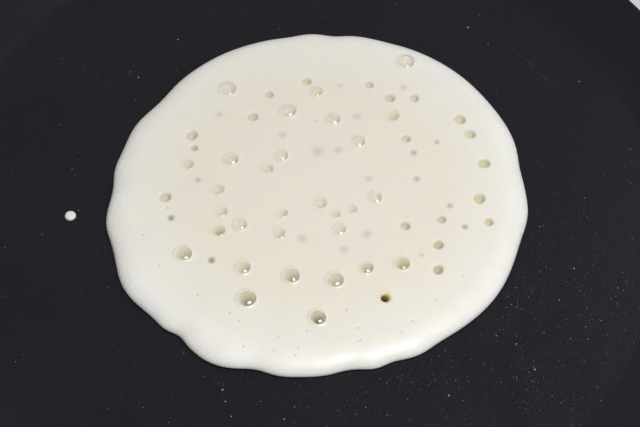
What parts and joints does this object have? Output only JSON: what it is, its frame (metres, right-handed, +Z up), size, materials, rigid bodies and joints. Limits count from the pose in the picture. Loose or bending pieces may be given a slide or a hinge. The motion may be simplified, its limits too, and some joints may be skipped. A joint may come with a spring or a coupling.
{
  "type": "pancake in a shallow pan",
  "caption": "Round pancake with a wet, bubbling top and a lobed edge, cooking in a shallow flared pan with a plain straight handle.",
  "frame": {"origin": "centre of the pan's flat underside", "axes": "+Z up out of the pan's mouth, +X along the handle"},
  "size_m": [0.448, 0.279, 0.0531],
  "materials": {
    "pan_coating": "black non-stick coating",
    "ferrule_steel": "satin",
    "grip_resin": "matte",
    "pancake_batter": "wet batter"
  },
  "bodies": {
    "root": {"pan_body": "pan_coating", "handle_ferrule": "ferrule_steel", "handle_grip": "grip_resin", "pancake": "pancake_batter", "batter_drop": "pancake_batter"}
  },
  "joints": []
}
